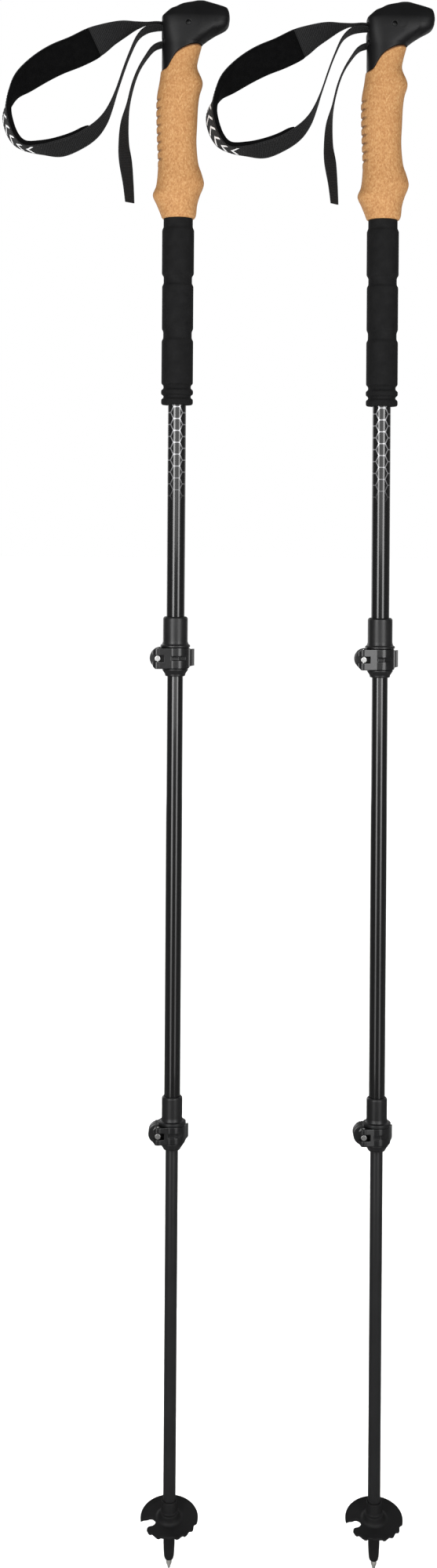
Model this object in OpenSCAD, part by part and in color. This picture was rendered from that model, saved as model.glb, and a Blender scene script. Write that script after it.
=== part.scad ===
// Pair of telescopic trekking poles, standing upright side by side.
// Origin: the point of the left pole. +Z up, +X towards the palm rests, +Y to the back.

/* [Pair] */
// Distance between the two pole axes
pole_spacing = 179; // [170:1:260]

/* [Tubes] */
// Outer diameter of the upper tube; the middle and lower tubes are 2 mm and 5 mm smaller
upper_d = 16; // [16:0.25:17]
// Wall thickness of every tube
tube_wall = 0.9; // [0.7:0.1:0.9]

/* [Heights above the tip] */
// Middle of the lower clamp's lever
lower_clamp_z = 380.5; // [360:0.5:400]
// Middle of the upper clamp's lever
upper_clamp_z = 796; // [770:1:820]
// Top of the lower tube, inside the middle tube
lower_top_z = 458; // [450:1:470]
// Top of the middle tube, inside the upper tube
middle_top_z = 880; // [870:1:900]
// Bottom of the foam grip
foam_z = 1017; // [1010:1:1017]
// Top of the upper tube, inside the head
upper_top_z = 1326; // [1320:1:1327]

/* [Clamps] */
// Outer radius of the upper clamp's barrel
upper_body_r = 10.4; // [10.4:0.1:11]
// Outer radius of the lower clamp's barrel
lower_body_r = 9.6; // [9.6:0.1:10]
// Height of the upper lever
upper_lever_h = 18; // [17:0.5:18.5]
// Height of the lower lever
lower_lever_h = 15; // [14:0.5:15.5]
// Radius of both levers' cam ends
cam_r = 4.4; // [4.2:0.1:4.4]
// Radius of the tension bolts
bolt_r = 2; // [1.8:0.1:2]

/* [Strap] */
// Thickness of the strap's tape
tape_t = 1.4; // [1:0.1:1.6]
// Thickness of the pad inside the loop
pad_t = 4; // [2.5:0.1:4.5]

/* [Basket and tip] */
// Radius of the basket's rim
basket_r = 25.2; // [24:0.1:26]
// Height of the middle of the basket's disc
basket_z = 43.6; // [43:0.1:44]
// Tilt of the disc, its front edge down
basket_tilt = 17.5; // [16:0.5:18]
// Radius of the ferrule's round end, which takes a rubber foot
ferrule_r = 5; // [4.9:0.1:5.3]

/* [Hidden] */
$fn = 64;

// Fits and gaps
eps = 0.01;        // overlap that joins two parts of one solid
fit = 0.05;        // radial clearance of a sliding or turning fit
seat = 0.02;       // radial clearance of a pressed or glued joint
air = 0.3;         // gap between pieces that pass each other

upper_r = upper_d / 2;
middle_r = upper_r - 1;
lower_r = upper_r - 2.5;

// Both clamps: [barrel's radius, height of the lever, top of the sleeve above the lever's middle,
// radius of the sleeve, height of the flange, radius of the ear, bolt's distance outside the barrel,
// depth of the ear's back inside the barrel's radius, reach of the lever's tab, radius of the nut]
upper_clamp = [upper_body_r, upper_lever_h, 36, 10.85, 2.2, 9.15, 4.6, 3.4, 4, 6.5];
lower_clamp = [lower_body_r, lower_lever_h, 32.5, 9, 3, 8.4, 2.4, 1.2, 2.4, 7.2];
lever_t = 2.1;
lever_slot_h = 5.6;
arrow_h = 3.6;     // shallow mark on the lever
slit = 1.6;
tube_stop = 1;     // outer tube ends this far above the lever's top edge
nut_h = 5.4;
head_r = 2.4;      // bolt's eye, seen in the lever's slot
lever_pin_r = 1;

// Head and strap cavity
head_back_x = -15.3;
pin_x = 8;
pin_z = 1348.5;
pin_r = 2.3;
wedge_x = -7.5;
wedge_z = 1339.5;
wedge_r = 4.6;
strap_slot_w = 16.6;
wedge_w = 15.4;

// Joint between the foam and the cork
cork_z = 1180;

// Cork: height, reach to the back (-X), reach to the front (+X), half width in Y
cork_rings = [
    [cork_z, 14.3, 14.5, 14.3], [1184, 15.7, 15.7, 15.2], [1192, 19, 16.5, 16], [1200, 22.5, 18.7, 17],
    [1207, 20, 21.5, 17], [1212, 19, 22.3, 17], [1220, 18.3, 20, 16.3], [1229, 18, 17.1, 15.6],
    [1246, 18.8, 15.5, 15.4], [1262, 19.4, 16, 15.8], [1278, 19.7, 16.7, 16], [1288, 19.2, 18, 16.2],
    [1299, 17.3, 20.6, 16.2], [1311, 15.8, 16, 15.6], [1319, 15.2, 16.5, 15.3], [1334, 15, 20.5, 15.2]
];

// Seam between cork and head, then the underside of the palm rest, as [x, z] from the back to the front
seam = [
    [-30, 1308], [-14.5, 1309], [-10, 1311], [-7, 1316], [-3, 1322], [2, 1326], [9, 1329.5], [16, 1331.5],
    [21, 1331.5], [24, 1334.7], [32, 1340], [41, 1345.5], [50, 1352]
];

// Wrist strap, from the cross pin round the loop and the wedge to the tail's end.
// Each station: x, z, roll of the tape about its own line, width
strap_route = [
    [3, 1350.2, 0, 15], [-4, 1349.6, 6, 15], [-12, 1349, 10, 15], [-20, 1349.5, 10, 15],
    [-28, 1350.5, -3, 15], [-37, 1349, 10, 16], [-48.5, 1346, 32, 20], [-61, 1341, 45, 24],
    [-74.5, 1334, 58, 28], [-90.5, 1326, 57, 28.5], [-107.5, 1319, 54, 28.5], [-122.5, 1310.5, 46, 28],
    [-136.5, 1300, 30, 27.5], [-146, 1290, 5, 27], [-151.8, 1276, -10, 27], [-151, 1263, -14, 27],
    [-144.8, 1248.8, -10, 27], [-134.5, 1241.2, -2, 27], [-119, 1239.8, -10, 27],
    [-103.5, 1241, -23, 26.5], [-87.8, 1247, -23, 25], [-75, 1255.4, -26, 21], [-66, 1265.5, -19, 18],
    [-60, 1277, -10, 15.5], [-54.5, 1292, -1, 15], [-48.5, 1310, 0, 15], [-43.5, 1323.5, 0, 15],
    [-37, 1337.5, -3, 15], [-29.5, 1344.6, -10, 15], [-21, 1347, -11, 15], [-13, 1346.7, -4, 15],
    [-6.5, 1346.2, 0, 15], [-1.7, 1343, 0, 15], [-0.5, 1339, 0, 15], [-2.5, 1334.7, 0, 15],
    [-7.5, 1332.6, 2, 15], [-15, 1332.2, 9, 15], [-22.5, 1329, 7, 15], [-29, 1321, 3, 15],
    [-35.5, 1310, 1, 15], [-40.5, 1296.5, 3, 15], [-44.5, 1279, 6, 15], [-47.5, 1262, 24, 15],
    [-48, 1245, 35, 15], [-46.5, 1230, 47, 15], [-44, 1210.5, 36, 15], [-42.5, 1194, 29, 15]
];
strap_steps = 3;   // pieces between two stations
pad_first = 8;     // the pad lines the loop between these two stations
pad_last = 21;
pad_gap = 0.1;

// Ferrule: top of its outside, where the lower tube begins
ferrule_top = 54;

// Basket: steps of the toothed rim, in degrees from +X towards the front
right_teeth = [36, 55, 74];
left_teeth = [110, 131];
tooth_depth = 1.9;
hook_r = 24;

// ---------- helpers ----------

function spline(a, b, c, d, t) =
    0.5 * (2 * b + (c - a) * t + (2 * a - 5 * b + 4 * c - d) * t * t + (3 * b - 3 * c + d - a) * t * t * t);

function smooth(p, steps) = [
    for (i = [0 : len(p) - 2], k = [0 : steps - 1])
        spline(p[max(i - 1, 0)], p[i], p[i + 1], p[min(i + 2, len(p) - 1)], k / steps),
    p[len(p) - 1]
];

function slice(list, first, last) = [for (i = [first : last]) list[i]];

module tube(outer_r, inner_r, z0, z1) {
    translate([0, 0, z0])
        difference() {
            cylinder(r = outer_r, h = z1 - z0);
            translate([0, 0, -1]) cylinder(r = inner_r, h = z1 - z0 + 2);
        }
}

module along_y(r, y0, y1) {
    translate([0, y1, 0]) rotate([90, 0, 0]) cylinder(r = r, h = y1 - y0);
}

// Closed skin over rings that all have the same number of points.
// Opposite halves of a ring are split along the same corners, so a twisted tape keeps its thickness.
module skin(rings) {
    n = len(rings[0]);
    m = len(rings);
    points = [for (ring = rings, p = ring) p];
    sides = [
        for (i = [0 : m - 2], k = [0 : n - 1])
            let (a = i * n + k, b = i * n + (k + 1) % n)
                each (k < n / 2 ? [[a, b, b + n], [a, b + n, a + n]] : [[a, b, a + n], [b, b + n, a + n]])
    ];
    start = [for (k = [1 : n - 2]) [0, k + 1, k]];
    end = [for (k = [1 : n - 2]) [(m - 1) * n, (m - 1) * n + k, (m - 1) * n + k + 1]];
    polyhedron(points, concat(sides, start, end), convexity = 10);
}

// Flat tape whose middle follows the stations; lift moves it off that line towards its outer face
module tape(stations, thickness, lift) {
    last = len(stations) - 1;
    skin([
        for (i = [0 : last])
            let (
                s = stations[i],
                before = stations[max(i - 1, 0)],
                after = stations[min(i + 1, last)],
                run = [after[0] - before[0], after[1] - before[1]],
                t = run / norm(run),
                across = [sin(s[2]) * t[1], -cos(s[2]), -sin(s[2]) * t[0]] * s[3] / 2,
                face = [cos(s[2]) * t[1], sin(s[2]), -cos(s[2]) * t[0]],
                mid = [s[0], 0, s[1]] + face * lift,
                half = face * thickness / 2
            )
                [mid + across + half, mid - across + half, mid - across - half, mid + across - half]
    ]);
}

// ---------- grip ----------

module seam_region(drop) {
    translate([0, 40, 0]) rotate([90, 0, 0]) linear_extrude(80)
        polygon(concat([[-30, 1100]], [for (p = seam) [p[0], p[1] - drop]], [[50, 1100]]));
}

module cork_grip() {
    sides = 28;
    rings = smooth(cork_rings, 2);
    color("burlywood")
        difference() {
            intersection() {
                skin([
                    for (r = rings) [
                        for (k = [0 : sides - 1])
                            let (a = 360 * (k + 0.5) / sides)
                                [cos(a) * (cos(a) > 0 ? r[2] : r[1]), sin(a) * r[3], r[0]]
                    ]
                ]);
                seam_region(air / 2);
            }
            translate([0, 0, cork_z - 1]) cylinder(r = upper_r + seat, h = 200);
        }
}

module head_shell() {
    hull() {
        translate([0, 0, 1305]) cylinder(r = 15.3, h = 50, $fn = 32);
        translate([0, 0, 1355]) cylinder(r = 14.2, h = 4.5, $fn = 32);
        translate([8, 0, 1360]) cylinder(r = 12, h = 8.3, $fn = 32);
        translate([18, 0, 1362]) cylinder(r = 8, h = 9.3, $fn = 32);
        translate([28, 0, 1349]) cylinder(r = 15, h = 9, $fn = 32);
        translate([29, 0, 1357]) cylinder(r = 11.5, h = 8.5, $fn = 32);
        translate([28, 0, 1344.5]) cylinder(r = 12, h = 6, $fn = 32);
    }
}

// Space that the strap and the wedge need inside the head
module strap_cavity() {
    translate([0, strap_slot_w / 2, 0]) rotate([90, 0, 0]) linear_extrude(strap_slot_w) {
        translate([wedge_x, wedge_z]) circle(r = 8.9);
        translate([-25, wedge_z - 8.9]) square([25 + wedge_x, 21.1]);
        translate([wedge_x, 1346]) square([13.3, 5.6]);
    }
}

module grip_head() {
    color("dimgray")
        difference() {
            head_shell();
            seam_region(-air / 2);
            translate([0, 0, 1200]) cylinder(r = upper_r + seat, h = upper_top_z + 1 - 1200);
            strap_cavity();
            translate([pin_x, 0, pin_z]) along_y(pin_r + seat, -30, 30);
        }
}

module strap_pin() {
    color("gray")
        translate([pin_x, 0, pin_z]) along_y(pin_r, -11, 11);
}

module strap_wedge() {
    color("black")
        translate([0, wedge_w / 2, 0]) rotate([90, 0, 0]) linear_extrude(wedge_w) {
            translate([wedge_x, wedge_z]) circle(r = wedge_r);
            translate([head_back_x, wedge_z - 3.6]) square([wedge_x - head_back_x, 7.2]);
        }
}

module strap_webbing() {
    color("black")
        tape(smooth(strap_route, strap_steps), tape_t, 0);
}

module strap_pad() {
    color([0.08, 0.08, 0.08])
        tape(
            slice(smooth(strap_route, strap_steps), pad_first * strap_steps, pad_last * strap_steps),
            pad_t, -(tape_t + pad_t) / 2 - pad_gap
        );
}

module foam_grip() {
    color([0.12, 0.12, 0.12])
        translate([0, 0, foam_z])
            rotate_extrude()
                polygon([
                    [upper_r + seat, 0], [13, 0], [13.9, 1.2], [13.9, 4.8], [12, 6.2], [12, 8], [14, 9.4],
                    [14, 12.8], [12, 14.2], [12, 19.4], [13.8, 21.4], [13.8, 55.6], [12.5, 58], [12.5, 64],
                    [13.7, 66.4], [13.7, 103.6], [12.4, 105.6], [12.4, 112], [14, 114.2], [14, 152.6],
                    [12.8, 155], [12.8, cork_z - foam_z - 0.6], [12.2, cork_z - foam_z],
                    [upper_r + seat, cork_z - foam_z]
                ]);
}

module upper_shaft() {
    color([0.1, 0.1, 0.1])
        tube(upper_r, upper_r - tube_wall, upper_clamp_z + upper_lever_h / 2 + tube_stop, upper_top_z);
}

// ---------- clamps, drawn about the middle of the lever ----------

function ear_x(c) = -(c[0] + 2.6);
function ear_front(c) = -(c[0] - 4.9);
function ear_back(c) = c[0] - c[7];
function bolt_x(c) = -(c[0] + c[6]);
function cam_y(c) = -(c[0] - 0.2);

module clamp_collar(c, outer_tube, inner_tube) {
    body_r = c[0];
    half = c[1] / 2;
    top = c[2];
    sleeve_r = c[3];
    flange = half + c[4];
    seat_z = half + tube_stop;
    color([0.16, 0.16, 0.16])
        difference() {
            union() {
                rotate_extrude()
                    polygon([
                        [0, -half - 7], [inner_tube + 1, -half - 7], [inner_tube + 1.9, -half - 6.5],
                        [body_r - 1.4, -half - 4.9], [body_r - 0.1, -half - 3], [body_r + 0.9, -half - 1.6],
                        [body_r + 0.9, -half - air], [body_r, -half - air], [body_r, half + air],
                        [body_r + 2.6, half + air], [body_r + 2.6, flange], [sleeve_r + 0.8, flange + 0.6],
                        [sleeve_r, flange + 3.2], [sleeve_r, top - 1.4], [sleeve_r - 1.2, top], [0, top]
                    ]);
                translate([ear_x(c), 0, 0]) along_y(c[5], ear_front(c), ear_back(c));
            }
            translate([0, 0, seat_z]) cylinder(r = outer_tube + seat, h = top);
            translate([0, 0, -half - 10]) cylinder(r = inner_tube + fit, h = half + seat_z + 11);
            translate([-40, -slit / 2, -half - 10]) cube([40, slit, half + 10 + flange]);
            translate([bolt_x(c), 0, 0]) along_y(bolt_r + fit, -30, 30);
        }
}

// Lever seen from above: cam end, arm round the barrel and tab
module lever_plan(c) {
    inner = c[0] + air;
    outer = inner + lever_t;
    px = bolt_x(c);
    py = cam_y(c);
    difference() {
        union() {
            translate([px, py]) circle(r = cam_r);
            intersection() {
                circle(r = outer);
                polygon([[0, 0], [-6, -20], [20, -20], [20, 1]]);
            }
            polygon([
                [px, py - cam_r], [outer * cos(256), outer * sin(256)], [inner * cos(256), inner * sin(256)],
                [px + 6, py + cam_r - 1.5], [px, py + cam_r]
            ]);
            polygon([
                [outer - 2.4, 0], [outer, -0.5], [outer + 0.4 * c[8], 2.6], [outer + c[8], 8.6],
                [outer + c[8] - 1.6, 9], [inner + 0.2, 2.6]
            ]);
        }
        circle(r = inner);
    }
}

// Lever seen from the front: corners cut off, tab lower than the arm
module lever_face(c) {
    half = c[1] / 2;
    left = bolt_x(c) - cam_r - 0.1;
    edge = c[0] + air + lever_t;
    right = edge + c[8] + 0.1;
    polygon([
        [left, 2.4 - half], [left + 2.4, -half], [edge - 1, -half], [edge + 0.4, 1.6 - half],
        [right, 1.6 - half], [right, half - 1.6], [edge + 0.4, half - 1.6], [edge - 1, half],
        [left + 2.4, half], [left, half - 2.4]
    ]);
}

module clamp_lever(c) {
    outer = c[0] + air + lever_t;
    px = bolt_x(c);
    py = cam_y(c);
    color([0.2, 0.2, 0.2])
        difference() {
            intersection() {
                translate([0, 0, -c[1]]) linear_extrude(2 * c[1]) lever_plan(c);
                translate([0, 30, 0]) rotate([90, 0, 0]) linear_extrude(60) lever_face(c);
            }
            translate([px - 6, py - 8, -lever_slot_h / 2]) cube([11.5, 16, lever_slot_h]);
            translate([px, py, -c[1]]) cylinder(r = lever_pin_r + seat, h = 2 * c[1]);
            for (a = [0, 28])
                rotate([0, 0, a]) translate([-3, -outer - 1, -arrow_h / 2]) cube([7.6, 2, arrow_h]);
        }
}

module clamp_lever_pin(c) {
    reach = c[1] / 2 + 0.2;
    color("silver")
        translate([bolt_x(c), cam_y(c), -reach]) cylinder(r = lever_pin_r, h = 2 * reach);
}

module clamp_bolt(c) {
    color("silver")
        translate([bolt_x(c), 0, 0])
            difference() {
                union() {
                    along_y(bolt_r, cam_y(c), ear_back(c) + air + nut_h + 0.8);
                    along_y(head_r, cam_y(c) - 3, cam_y(c) + 2.8);
                }
                translate([0, cam_y(c), -10]) cylinder(r = lever_pin_r + fit, h = 20);
            }
}

module clamp_nut(c) {
    color([0.25, 0.25, 0.25])
        translate([bolt_x(c), ear_back(c) + air, 0])
            difference() {
                along_y(c[9], 0, nut_h);
                along_y(bolt_r + fit, -1, nut_h + 1);
                for (a = [0 : 20 : 340])
                    rotate([0, a, 0]) translate([c[9] + 0.25, 0, 0]) along_y(0.7, -1, nut_h + 1);
            }
}

module upper_collar() {
    translate([0, 0, upper_clamp_z]) clamp_collar(upper_clamp, upper_r, middle_r);
}

module upper_lever() {
    translate([0, 0, upper_clamp_z]) clamp_lever(upper_clamp);
}

module upper_lever_pin() {
    translate([0, 0, upper_clamp_z]) clamp_lever_pin(upper_clamp);
}

module upper_tension_bolt() {
    translate([0, 0, upper_clamp_z]) clamp_bolt(upper_clamp);
}

module upper_tension_nut() {
    translate([0, 0, upper_clamp_z]) clamp_nut(upper_clamp);
}

module lower_collar() {
    translate([0, 0, lower_clamp_z]) clamp_collar(lower_clamp, middle_r, lower_r);
}

module lower_lever() {
    translate([0, 0, lower_clamp_z]) clamp_lever(lower_clamp);
}

module lower_lever_pin() {
    translate([0, 0, lower_clamp_z]) clamp_lever_pin(lower_clamp);
}

module lower_tension_bolt() {
    translate([0, 0, lower_clamp_z]) clamp_bolt(lower_clamp);
}

module lower_tension_nut() {
    translate([0, 0, lower_clamp_z]) clamp_nut(lower_clamp);
}

// ---------- lower sections ----------

// Plug in the top of a tube: a stem glued inside it and a ring that slides in the next tube
module guide_plug(tube_r, bore_r, top_z) {
    color("ivory")
        translate([0, 0, top_z])
            difference() {
                union() {
                    cylinder(r = bore_r - fit, h = 9);
                    translate([0, 0, -18]) cylinder(r = tube_r - tube_wall - seat, h = 18 + eps);
                }
                translate([0, 0, -19]) cylinder(r = tube_r - tube_wall - 1.6, h = 30);
            }
}

module middle_shaft() {
    color([0.1, 0.1, 0.1])
        tube(middle_r, middle_r - tube_wall, lower_clamp_z + lower_lever_h / 2 + tube_stop, middle_top_z);
}

module middle_guide_plug() {
    guide_plug(middle_r, upper_r - tube_wall, middle_top_z);
}

module lower_shaft() {
    color([0.14, 0.14, 0.14])
        tube(lower_r, lower_r - tube_wall, ferrule_top, lower_top_z);
}

module lower_guide_plug() {
    guide_plug(lower_r, middle_r - tube_wall, lower_top_z);
}

module tip_ferrule() {
    plug_r = lower_r - tube_wall - seat;
    color([0.12, 0.12, 0.12])
        rotate_extrude()
            polygon([
                [0, 19], [1.9 + seat, 19], [1.9 + seat, 7.5], [3.2, 7.5], [4, 9], [4.5, 11], [4.8, 15],
                [ferrule_r, 22], [ferrule_r, 37], [lower_r, 39], [lower_r, ferrule_top],
                [plug_r, ferrule_top], [plug_r, ferrule_top + 24], [plug_r - 0.8, ferrule_top + 26],
                [0, ferrule_top + 26]
            ]);
}

module carbide_tip() {
    color("silver")
        rotate_extrude()
            polygon([
                [0, 0], [1, 0], [1.15, 0.4], [1.5, 2.2], [2.2, 3.9], [2.5, 5],
                [2.5, 6.6], [2.2, 7.4], [1.9, 7.4], [1.9, 18.8], [0, 18.8]
            ]);
}

// Point on the basket's disc, at an angle from +X towards the front
function rim(r, angle) = r * [cos(angle), -sin(angle)];

// Flat outline of the basket's disc: round at the back, stepped teeth in front, a hooked notch
module basket_outline() {
    far = basket_r + 4;
    tip = basket_r + 0.9;
    low = basket_r - tooth_depth;
    difference() {
        circle(r = basket_r);
        polygon(concat(
            [rim(tip, 13)],
            [for (a = right_teeth) each [rim(low, a - 15), rim(tip, a)]],
            [rim(low, 77), rim(low, 92)],
            [for (a = left_teeth) each [rim(low, a - 3), rim(tip, a)]],
            [rim(hook_r, 142), rim(far, 150)],
            [for (a = [140 : -15 : 5]) rim(far, a)]
        ));
        translate([-16.2, -5.8]) circle(r = 4.4);
        polygon([
            [-16.2, -1.9], [-21.5, -2.7], [-26, -5.4], [-32, -6], [-32, -18],
            [-19.4, -15.6], [-18.7, -11.6], [-16, -9.8]
        ]);
    }
}

module basket() {
    disc_t = 2.6;
    color([0.15, 0.15, 0.15])
        difference() {
            union() {
                translate([0, 0, basket_z]) rotate([basket_tilt, 0, 0])
                    intersection() {
                        translate([0, 0, -10]) linear_extrude(30) basket_outline();
                        rotate_extrude()
                            polygon([
                                [0, -1], [9, -1.4], [20, -1.6],
                                [basket_r + 1, -0.6], [basket_r + 1, 1.2],
                                [20, disc_t - 1.6], [12, disc_t - 1.2], [10.2, disc_t - 0.4],
                                [9.2, disc_t + 1.2], [8, disc_t + 4.6], [0, disc_t + 4.6]
                            ]);
                    }
                intersection() {
                    translate([0, 0, basket_z - 2]) cylinder(r1 = 7.6, r2 = 6.3, h = 24);
                    translate([0, 0, 59.5]) rotate([basket_tilt / 2, 0, 0]) translate([-30, -30, -40])
                        cube([60, 60, 40]);
                }
            }
            translate([0, 0, 20]) cylinder(r = lower_r + fit, h = 60);
        }
}

module left() {
    children();
}

module right() {
    translate([pole_spacing, 0, 0]) children();
}

left() grip_head();  // left_grip_head
left() strap_pin();  // left_strap_pin
left() strap_wedge();  // left_strap_wedge
left() strap_webbing();  // left_strap_webbing
left() strap_pad();  // left_strap_pad
left() cork_grip();  // left_cork_grip
left() foam_grip();  // left_foam_grip
left() upper_shaft();  // left_upper_shaft
left() upper_collar();  // left_upper_collar
left() upper_lever();  // left_upper_lever
left() upper_lever_pin();  // left_upper_lever_pin
left() upper_tension_bolt();  // left_upper_tension_bolt
left() upper_tension_nut();  // left_upper_tension_nut
left() middle_shaft();  // left_middle_shaft
left() middle_guide_plug();  // left_middle_guide_plug
left() lower_collar();  // left_lower_collar
left() lower_lever();  // left_lower_lever
left() lower_lever_pin();  // left_lower_lever_pin
left() lower_tension_bolt();  // left_lower_tension_bolt
left() lower_tension_nut();  // left_lower_tension_nut
left() lower_shaft();  // left_lower_shaft
left() lower_guide_plug();  // left_lower_guide_plug
left() tip_ferrule();  // left_tip_ferrule
left() carbide_tip();  // left_carbide_tip
left() basket();  // left_basket
right() grip_head();  // right_grip_head
right() strap_pin();  // right_strap_pin
right() strap_wedge();  // right_strap_wedge
right() strap_webbing();  // right_strap_webbing
right() strap_pad();  // right_strap_pad
right() cork_grip();  // right_cork_grip
right() foam_grip();  // right_foam_grip
right() upper_shaft();  // right_upper_shaft
right() upper_collar();  // right_upper_collar
right() upper_lever();  // right_upper_lever
right() upper_lever_pin();  // right_upper_lever_pin
right() upper_tension_bolt();  // right_upper_tension_bolt
right() upper_tension_nut();  // right_upper_tension_nut
right() middle_shaft();  // right_middle_shaft
right() middle_guide_plug();  // right_middle_guide_plug
right() lower_collar();  // right_lower_collar
right() lower_lever();  // right_lower_lever
right() lower_lever_pin();  // right_lower_lever_pin
right() lower_tension_bolt();  // right_lower_tension_bolt
right() lower_tension_nut();  // right_lower_tension_nut
right() lower_shaft();  // right_lower_shaft
right() lower_guide_plug();  // right_lower_guide_plug
right() tip_ferrule();  // right_tip_ferrule
right() carbide_tip();  // right_carbide_tip
right() basket();  // right_basket
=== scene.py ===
"""Looks of a pair of trekking poles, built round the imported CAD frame.

Lengths are in millimetres about one pole's own axis, with the tip at z = 0, until make() turns
them into metres. Lights and the camera are placed in metres. Both poles are alike, so every piece
is made once and placed at each pole.
"""

import math

import bmesh
import bpy
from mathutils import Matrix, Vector


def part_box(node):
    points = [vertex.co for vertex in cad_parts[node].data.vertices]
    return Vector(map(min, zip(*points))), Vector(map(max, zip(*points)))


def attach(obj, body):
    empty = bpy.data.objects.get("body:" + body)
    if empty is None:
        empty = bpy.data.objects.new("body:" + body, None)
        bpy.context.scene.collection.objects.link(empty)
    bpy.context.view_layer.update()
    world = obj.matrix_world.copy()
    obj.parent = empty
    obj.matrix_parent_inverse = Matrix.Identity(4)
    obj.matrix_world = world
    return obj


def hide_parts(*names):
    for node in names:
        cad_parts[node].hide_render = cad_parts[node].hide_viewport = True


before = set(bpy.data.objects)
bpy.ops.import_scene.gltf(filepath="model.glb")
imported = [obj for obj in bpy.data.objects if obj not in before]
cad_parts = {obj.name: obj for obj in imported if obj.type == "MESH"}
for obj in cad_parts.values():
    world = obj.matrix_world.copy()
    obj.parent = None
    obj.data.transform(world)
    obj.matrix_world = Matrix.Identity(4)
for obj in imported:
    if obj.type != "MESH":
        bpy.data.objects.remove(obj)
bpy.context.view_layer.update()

MM = 0.001
SIDES = ("left", "right")
SLIP = 0.02   # room between a sleeve's bore and its tube


def middle(node):
    """Centre of a CAD node, in metres."""
    low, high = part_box(node)
    return (low + high) / 2


POLE_X = {side: middle(f"{side}_carbide_tip").x for side in SIDES}
CENTRE_X = (POLE_X["left"] + POLE_X["right"]) / 2


def span_z(node):
    """Lowest and highest z of a left-hand CAD node, in mm."""
    low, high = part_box(f"left_{node}")
    return low.z / MM, high.z / MM


def radius(node):
    """Half the width in Y of a left-hand CAD node, in mm."""
    low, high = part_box(f"left_{node}")
    return (high.y - low.y) / 2 / MM


# ---------------------------------------------------------------- mesh helpers

def spline(a, b, c, d, t):
    """Catmull-Rom point between b and c."""
    return [
        0.5 * (2 * q + (r - p) * t + (2 * p - 5 * q + 4 * r - s) * t * t + (3 * q - 3 * r + s - p) * t ** 3)
        for p, q, r, s in zip(a, b, c, d)
    ]


def smooth_row(points, steps):
    """A smooth curve through the points, with so many steps from each to the next."""
    rows = []
    last = len(points) - 1
    for i in range(last):
        near = [points[max(i - 1, 0)], points[i], points[i + 1], points[min(i + 2, last)]]
        rows += [spline(*near, k / steps) for k in range(steps)]
    return rows + [list(points[last])]


def lookup(rows, z):
    """Row of values at height z, from rows sorted by their first value."""
    if z <= rows[0][0]:
        return rows[0]
    for low, high in zip(rows, rows[1:]):
        if z <= high[0]:
            t = (z - low[0]) / max(high[0] - low[0], 1e-9)
            return [p + (q - p) * t for p, q in zip(low, high)]
    return rows[-1]


def rounded(profile, radius_mm, steps=4):
    """The closed outline with each corner replaced by a short arc-like curve."""
    out = []
    count = len(profile)
    for i, corner in enumerate(profile):
        c = Vector(corner)
        before = Vector(profile[i - 1]) - c
        after = Vector(profile[(i + 1) % count]) - c
        reach = min(radius_mm, before.length * 0.45, after.length * 0.45)
        start = c + before.normalized() * reach
        end = c + after.normalized() * reach
        for k in range(steps + 1):
            t = k / steps
            out.append(tuple(start * (1 - t) ** 2 + c * 2 * t * (1 - t) + end * t * t))
    return out


def make(name, verts, faces, smooth_angle=35, uvs=None):
    """Mesh from points in mm. uvs holds one (u, v) for each point."""
    mesh = bpy.data.meshes.new(name)
    mesh.from_pydata([(x * MM, y * MM, z * MM) for x, y, z in verts], [], faces)
    if uvs:
        layer = mesh.uv_layers.new(name="along")
        for loop in mesh.loops:
            layer.data[loop.index].uv = uvs[loop.vertex_index]
    bm = bmesh.new()
    bm.from_mesh(mesh)
    bmesh.ops.recalc_face_normals(bm, faces=bm.faces)
    bm.to_mesh(mesh)
    bm.free()
    mesh.shade_smooth()
    mesh.set_sharp_from_angle(angle=math.radians(smooth_angle))
    return mesh


def grid_faces(rings, points, closed=False):
    """Quads between successive rings of points; closed joins the last ring to the first."""
    faces = []
    for i in range(rings if closed else rings - 1):
        j = (i + 1) % rings
        for k in range(points):
            n = (k + 1) % points
            faces.append((i * points + k, i * points + n, j * points + n, j * points + k))
    return faces


def lathe(name, profile, segments=96, smooth_angle=35):
    """Turns a closed outline of (radius, z) about the pole's axis. A point on the axis is a tiny ring."""
    verts = []
    for r, z in profile:
        r = max(r, 0.01)
        for k in range(segments):
            a = 2 * math.pi * k / segments
            verts.append((r * math.cos(a), r * math.sin(a), z))
    return make(name, verts, grid_faces(len(profile), segments, closed=True), smooth_angle)


def add_object(name, data):
    """Puts a new object in the scene."""
    obj = bpy.data.objects.new(name, data)
    bpy.context.scene.collection.objects.link(obj)
    return obj


def place(name, mesh, material, body, stands_for=()):
    """Puts a mesh at both poles, riding on that pole's body."""
    made = []
    mesh.materials.clear()
    mesh.materials.append(material)
    for side in SIDES:
        obj = add_object(f"{side}_{name}", mesh if side == "left" else mesh.copy())
        obj.location.x = POLE_X[side]
        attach(obj, f"{side}_{body}")
        if stands_for:
            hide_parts(*[f"{side}_{node}" for node in stands_for])
        made.append(obj)
    return made


def apply_modifiers(obj):
    """Bakes an object's modifiers into its mesh."""
    graph = bpy.context.evaluated_depsgraph_get()
    mesh = bpy.data.meshes.new_from_object(obj.evaluated_get(graph))
    old = obj.data
    obj.modifiers.clear()
    obj.data = mesh
    bpy.data.meshes.remove(old)
    return mesh


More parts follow.
